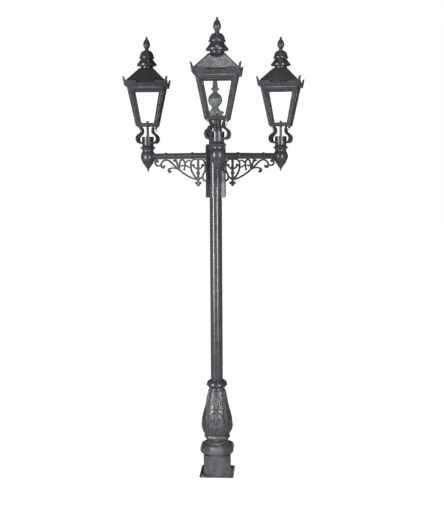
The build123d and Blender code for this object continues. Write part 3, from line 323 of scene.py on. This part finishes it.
# ---------------------------------------------------------------- bud casting
# Ornament on each of the bud's four sides, in millimetres: across the side from its middle, and up.
SIDE_STEMS = (
    (3.4, [(0, 455), (0, 500), (0, 560), (0, 628)]),
    (3.0, [(-46, 640), (-20, 646), (0, 641), (20, 646), (46, 640)]),
    (2.8, [(0, 650), (0, 700), (0, 762)]),
)
HALF_SCROLLS = (
    (3.2, [(4, 600), (30, 612), (48, 590), (46, 555), (30, 535), (52, 522), (66, 532), (60, 545)]),
    (2.8, [(4, 560), (16, 577), (24, 592), (13, 600)]),
    (2.8, [(0, 470), (20, 490), (36, 521)]),
    (2.6, [(0, 455), (16, 466), (42, 482)]),
    (3.0, [(6, 650), (30, 675), (34, 720), (23, 768), (27, 798), (15, 806), (9, 795)]),
    (2.2, [(0, 672), (11, 690), (15, 706)]),
    (2.2, [(0, 698), (9, 715), (12, 730)]),
    (2.2, [(0, 724), (7, 740), (9, 752)]),
    (2.2, [(12, 545), (22, 552), (34, 570)]),
)
SIDE_BEADS = ((5.0, 0, 531), (4.0, 66, 543), (4.0, -66, 543), (4.0, 0, 772), (3.6, 30, 552), (3.6, -30, 552))
ORNAMENT_SHARE = 1.9     # breadth of a ridge on the casting against the breadth written above
ORNAMENT_RISE = 0.6      # height of a ridge against its breadth
BUD_FOOT, BUD_TOP = 384.5, 829
BUD_BORE = 57.6
RING_FOOT = 322.1
# Radius of the bud at each height, and half the breadth of a side's sunk panel.
BUD_RADII = ((384, 109), (391, 116), (401, 125), (410, 130), (420, 134), (430, 139), (440, 142), (450, 143),
             (474, 145), (498, 143), (518, 141), (547, 138), (566, 133), (586, 129), (605, 125), (625, 122),
             (644, 117), (664, 113), (683, 108), (703, 105), (722, 102), (741, 98), (761, 94), (780, 91),
             (799, 86), (809, 83), (819, 78), (829, 75))
PANEL_EDGE = ((384, -30), (408, -12), (428, 0), (450, 13), (480, 28), (520, 44), (560, 56), (600, 61),
              (650, 58), (700, 51), (760, 45), (829, 36))


def away_from(across, up, curve):
    """Distance from each point to the nearest place on a curve of short straight pieces."""
    start, end = curve[:-1], curve[1:]
    run = end - start
    near = np.full(across.shape, 1e9)
    for (x, z), (dx, dz) in zip(start, run):
        t = np.clip(((across - x) * dx + (up - z) * dz) / (dx * dx + dz * dz), 0, 1)
        near = np.minimum(near, np.hypot(across - x - t * dx, up - z - t * dz))
    return near


def raised(distance, width):
    """A soft ridge: one at its middle, falling along half a cosine wave to nothing at its width."""
    return width * (0.5 + 0.5 * np.cos(np.pi * np.clip(distance / width, 0, 1)))


def bead(distance, middle, breadth, height):
    """A ridge, or with a height below nothing a groove, along a line: a bell curve round its middle."""
    return height * np.exp(-((distance - middle) / breadth) ** 2)


def sunk(distance, soft):
    """One well inside an edge, nothing well outside it, with a slope as wide as soft."""
    return 1 / (1 + np.exp(distance / soft))


def bud_casting():
    """The bud: round in plan, its radius read from the photo at each height. Eight petals, each an eighth of
    the turn wide, stand side by side with a rolled rim along their edges and round their feet, and a small
    leaf shows between each two feet. On each of the four sides the seam between two petals ends under
    foliage: stems, scrolls and beads, the upper ones in a sunk panel."""
    rows, around = 216, 360
    height = np.linspace(BUD_FOOT, BUD_TOP, rows)
    angle = np.arange(around) * 2 * np.pi / around
    z, a = np.meshgrid(height, angle, indexing="ij")
    radius = np.interp(height, *np.array(BUD_RADII, float).T)[:, None] + 0 * a
    side = (a + np.pi / 4) % (np.pi / 2) - np.pi / 4
    across = side * radius
    edge = np.interp(height, *np.array(PANEL_EDGE, float).T)[:, None]
    beyond = np.abs(across) - edge
    panel = np.clip((z - 590) / 60, 0, 1)
    relief = panel * (bead(beyond, 4, 4.0, 2.6) - 5.0 * sunk(beyond, 1.6))
    from_middle = np.abs(a % (np.pi / 4) - np.pi / 8) / (np.pi / 8)
    foot = 386 + 44 * from_middle ** 1.7
    seam = (1 - from_middle) * np.pi / 8 * radius
    covered = np.clip((z - 470) / 60, 0, 1) * (np.abs(side) < np.pi / 8)
    seam = seam + 60 * covered
    border = np.minimum(seam, (z - foot) / 1.25)
    relief += bead(border, 6.5, 4.5, 4.2) - bead(border, 17, 6.0, 3.0)
    relief -= 5.5 * sunk(border - 1.2, 1.1)
    ridges = [(width, away_from(across, z, smooth(curve, 5))) for width, curve in SIDE_STEMS]
    ridges += [(width, away_from(np.abs(across), z, smooth(curve, 5))) for width, curve in HALF_SCROLLS]
    ridges += [(width, np.hypot(across - x, z - up)) for width, x, up in SIDE_BEADS]
    ornament = 0 * z
    for width, distance in ridges:
        ornament = np.maximum(ornament, raised(distance, ORNAMENT_SHARE * width))
    wide = radius + relief + ORNAMENT_RISE * ornament
    walls = np.stack((wide * np.cos(a), wide * np.sin(a), z), -1)
    ring = bud_ring(angle)
    inner = np.stack((BUD_BORE * np.cos(angle), BUD_BORE * np.sin(angle)), -1)
    low_rim = np.dstack((inner[None], np.full((1, around, 1), RING_FOOT)))
    high_rim = np.dstack((inner[None], np.full((1, around, 1), float(BUD_TOP))))
    rings = np.concatenate((low_rim, ring, walls, high_rim)) / 1000
    piece = skin("bud_with_foliage", [shell(rings, True)], PAINT)
    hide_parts("bud_casting")


def bud_ring(angle):
    """The eight-sided bead under the bud, a corner to the front: distance to a side over the cosine of the
    angle from that side's middle."""
    outline = sharp(
        smooth([(97, RING_FOOT), (98.5, 331), (104, 340)], 4),
        smooth([(104, 340), (112, 348), (115, 361), (113, 374), (107, 384)], 5),
    )
    turn = angle % (np.pi / 4) - np.pi / 8
    wide = outline[:, :1] / np.cos(turn)[None, :]
    wide = np.minimum(wide, outline[:, :1] * 1.07)     # takes the point off the corners
    return np.stack((wide * np.cos(angle), wide * np.sin(angle), outline[:, 1:] + 0 * wide), -1)


bud_casting()


# ---------------------------------------------------------------- scroll brackets
# Middle lines of the bracket's bars, in millimetres: out along the arm, and up from the arm's centre line.
BRACKET_SCROLLS = (
    [(187, -46), (220, -36), (255, -52), (267, -98), (252, -155), (222, -198), (193, -226)],
    [(187, -46), (154, -36), (122, -56), (110, -98), (117, -150), (139, -192), (131, -226), (96, -238)],
    [(139, -192), (160, -212), (183, -226)],
    [(187, -40), (187, -100), (187, -160), (187, -220), (187, -274)],
    [(190, -124), (214, -120), (232, -104), (239, -95)],
    [(184, -124), (160, -120), (144, -104), (138, -95)],
    [(193, -226), (244, -215), (307, -188), (361, -157), (398, -130), (434, -118), (484, -118), (513, -133),
     (504, -150)],
    [(398, -130), (434, -103), (470, -72), (506, -47), (542, -41), (574, -51), (593, -76), (593, -99),
     (576, -114), (562, -104)],
    [(590, -70), (606, -90), (633, -95), (655, -80), (660, -55), (651, -38)],
    [(398, -130), (407, -96), (420, -64), (434, -34)],
    [(398, -130), (391, -104), (389, -76), (380, -50), (361, -39), (342, -48), (331, -70), (330, -96)],
    [(330, -94), (352, -92), (366, -96)],
    [(330, -94), (334, -112), (339, -130)],
    [(332, -70), (316, -59), (294, -46), (274, -51)],
    [(330, -96), (312, -96), (296, -106), (274, -110)],
    [(112, -98), (82, -98)],
    [(96, -238), (82, -240)],
)
BRACKET_BOSSES = ((187, -165, 9), (187, -112, 7), (167, -258, 8), (207, -258, 8), (187, -276, 9),
                  (239, -92, 8), (138, -92, 8), (499, -149, 9), (562, -101, 8), (634, -52, 8),
                  (450, -46, 5.5), (366, -96, 5.5), (339, -132, 5.5), (312, -58, 5.5))
BRACKET_FACE = 7.0       # from the bracket's middle plane to its face
BEAD_HALF = 4.6
BEAD_RISE = 3.2


def bracket_beads(arm):
    """Rounded faces of the bracket's scrolls: along each bar's middle line, on both sides of the casting,
    runs an oval bead, half of it sunk in the bar, and each bulb carries a dome."""
    angle = ARM_ANGLES[arm]
    out = np.array((np.cos(angle), np.sin(angle), 0))
    aside = np.array((np.sin(angle), -np.cos(angle), 0))
    up = np.array((0, 0, 1.0))
    shells = []
    turn = np.arange(8) * np.pi / 4
    for face in (1, -1):
        for curve in BRACKET_SCROLLS:
            line = smooth(curve, 6)
            run = np.gradient(line, axis=0)
            run /= np.linalg.norm(run, axis=1)[:, None]
            square = np.stack((-run[:, 1], run[:, 0]), -1)
            taper = np.sin(np.linspace(0, np.pi, len(line))) ** 0.25 * 0.9 + 0.1
            wide = (BEAD_HALF * taper)[:, None] * np.cos(turn)[None, :]
            proud = BRACKET_FACE - 0.4 + (BEAD_RISE * taper)[:, None] * np.sin(turn)[None, :]
            flat = line[:, None, :] + wide[..., None] * square[:, None, :] * face
            rings = flat[..., :1] * out + flat[..., 1:] * up + face * proud[..., None] * aside
            shells.append(shell(rings, False))
        for x, v, size in BRACKET_BOSSES:
            rise = np.linspace(-0.35, 1.35, 6)
            ring = np.arange(14) * np.pi / 7 * face
            wide = size * np.cos(rise)[:, None]
            spot = (x + wide * np.cos(ring))[..., None] * out + (v + wide * np.sin(ring))[..., None] * up
            proud = BRACKET_FACE + 0.55 * size * np.sin(rise)[:, None] + 0 * ring
            shells.append(shell(spot + face * proud[..., None] * aside, False))
    shells = [(points / 1000 + (0, 0, ARM_Z), faces) for points, faces in shells]
    skin(arm + "_bracket_beads", shells, PAINT)


for arm in ARMS:
    bracket_beads(arm)


# ---------------------------------------------------------------- floor, light and camera
# Strengths, where 1 is white, and the share of the glow over the lit floor that keeps the shadow.
FLOOR_GLOW, FLOOR_IN_GLOSS, FLOOR_BOUNCE, FLOOR_GLOW_SHARE = 1.055, 0.22, 0.3, 0.94
WORLD_LIGHT, WORLD_IN_GLOSS, WORLD_THROUGH_PANES = 0.18, 0.05, 1.25


def combine(tree, operation, first, second):
    """Output of a Math node over an output and either another output or a number."""
    made = tree.nodes.new("ShaderNodeMath")
    made.operation = operation
    tree.links.new(first, made.inputs[0])
    if isinstance(second, float):
        made.inputs[1].default_value = second
    else:
        tree.links.new(second, made.inputs[1])
    return made.outputs[0]


def studio_floor():
    """A broad pale floor, plain white wherever the camera or the glass sees it, dimmer in the gloss of the
    paint, with the post's shadow."""
    made = bpy.data.meshes.new("floor")
    side = 40.0
    corners = [(-side, -side, 0), (side, -side, 0), (side, side, 0), (-side, side, 0)]
    made.from_pydata(corners, [], [(0, 1, 2, 3)])
    floor = bpy.data.objects.new("floor", made)
    bpy.context.scene.collection.objects.link(floor)
    material = bpy.data.materials.new("floor_white")
    material.use_nodes = True
    tree = material.node_tree
    shader = tree.nodes["Principled BSDF"]
    shader.inputs["Base Color"].default_value = (0.9, 0.9, 0.9, 1)
    shader.inputs["Roughness"].default_value = 0.9
    shader.inputs["Emission Color"].default_value = (1, 1, 1, 1)
    shader.inputs["Emission Strength"].default_value = FLOOR_BOUNCE
    seen_by = tree.nodes.new("ShaderNodeLightPath").outputs
    seen = combine(tree, "MAXIMUM", seen_by["Is Camera Ray"], seen_by["Is Glossy Ray"])
    seen = combine(tree, "MAXIMUM", seen, seen_by["Is Transmission Ray"])
    glow = tree.nodes.new("ShaderNodeEmission")
    glow.inputs["Color"].default_value = (1, 1, 1, 1)
    paint_only = combine(tree, "SUBTRACT", seen_by["Is Glossy Ray"], seen_by["Is Transmission Ray"])
    tree.links.new(spread(tree, paint_only, FLOOR_GLOW, FLOOR_IN_GLOSS, 0, 1), glow.inputs["Strength"])
    mix = tree.nodes.new("ShaderNodeMixShader")
    tree.links.new(combine(tree, "MULTIPLY", seen, FLOOR_GLOW_SHARE), mix.inputs[0])
    tree.links.new(shader.outputs[0], mix.inputs[1])
    tree.links.new(glow.outputs[0], mix.inputs[2])
    tree.links.new(mix.outputs[0], tree.nodes["Material Output"].inputs["Surface"])
    made.materials.append(material)


def studio_world():
    """White behind the post, as bright again through its panes, dim in its gloss, and soft light on it."""
    world = bpy.data.worlds.new("studio")
    bpy.context.scene.world = world
    world.use_nodes = True
    tree = world.node_tree
    back = tree.nodes["Background"]
    back.inputs["Color"].default_value = (1, 1, 1, 1)
    seen_by = tree.nodes.new("ShaderNodeLightPath").outputs
    through = combine(tree, "MULTIPLY", seen_by["Is Transmission Ray"], WORLD_THROUGH_PANES)
    seen = combine(tree, "MAXIMUM", seen_by["Is Camera Ray"], through)
    gloss = spread(tree, seen_by["Is Glossy Ray"], WORLD_LIGHT, WORLD_IN_GLOSS, 0, 1)
    tree.links.new(combine(tree, "MAXIMUM", seen, gloss), back.inputs["Strength"])


def softbox(name, place, aim, width, height, power, beam=180):
    """An oblong lamp that faces aim, with a beam of so many degrees."""
    lamp = bpy.data.lights.new(name, "AREA")
    lamp.shape = "RECTANGLE"
    lamp.size, lamp.size_y = width, height
    lamp.energy = power
    lamp.spread = np.radians(beam)
    made = bpy.data.objects.new(name, lamp)
    made.location = place
    made.rotation_euler = (Vector(aim) - Vector(place)).to_track_quat("-Z", "Y").to_euler()
    bpy.context.scene.collection.objects.link(made)


def photo_camera():
    """The photograph's view, from a fit of the post's known points to the picture."""
    azimuth, pitch, roll = np.radians((3.54, 5.35, -0.314))
    height, distance, along = 2.884, 8.399, 0.0549
    forward = Vector((-np.sin(azimuth), np.cos(azimuth), 0))
    right = Vector((np.cos(azimuth), np.sin(azimuth), 0))
    up = Vector((0, 0, 1))
    place = -distance * forward + height * up + along * right
    ahead = forward * np.cos(pitch) - up * np.sin(pitch)
    above = up * np.cos(pitch) + forward * np.sin(pitch)
    across = right * np.cos(roll) + above * np.sin(roll)
    above = -right * np.sin(roll) + above * np.cos(roll)
    data = bpy.data.cameras.new("camera")
    data.lens = 63.664
    data.sensor_width = 36.0
    data.clip_end = 200.0
    camera = bpy.data.objects.new("camera", data)
    turn = Matrix((across, above, -ahead)).transposed().to_4x4()
    camera.matrix_world = Matrix.Translation(place) @ turn
    bpy.context.scene.collection.objects.link(camera)
    bpy.context.scene.camera = camera


studio_floor()
studio_world()
softbox("left_softbox", (-4.6, -5.0, 2.5), (0, 0, 2.3), 0.9, 4.0, 540)
softbox("right_softbox", (3.4, -6.0, 2.5), (0, 0, 2.3), 0.8, 4.0, 420)
softbox("foot_softbox", (0.2, -6.0, 4.6), (0, 0, -0.14), 0.7, 0.35, 3.2, 8)
softbox("roof_softbox", (0.1, -0.7, 7.2), (0.1, -0.7, 3.8), 1.0, 1.0, 2.1, 60)
photo_camera()
bpy.context.scene.view_settings.view_transform = "Standard"
